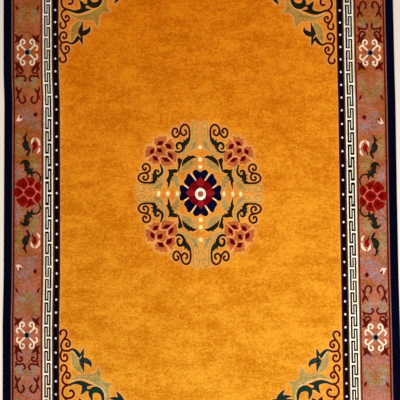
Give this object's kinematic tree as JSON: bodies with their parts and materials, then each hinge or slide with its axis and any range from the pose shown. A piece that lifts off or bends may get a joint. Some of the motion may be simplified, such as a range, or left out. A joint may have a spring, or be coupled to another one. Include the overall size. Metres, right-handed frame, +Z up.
{
  "type": "tibetan rug",
  "caption": "Flat hand-knotted wool pile rug with a plain gold field, round flower medallion, leafy corners, key-fret band and flower border.",
  "frame": {"origin": "on the floor under the middle of the rug", "axes": "+X across the rug, +Y along it, +Z up out of the pile"},
  "size_m": [1.8704, 2.745, 0.012],
  "materials": {
    "wool_pile": "short cut wool pile, matte with a soft sheen"
  },
  "bodies": {
    "root": {"rug": "wool_pile"}
  },
  "joints": []
}
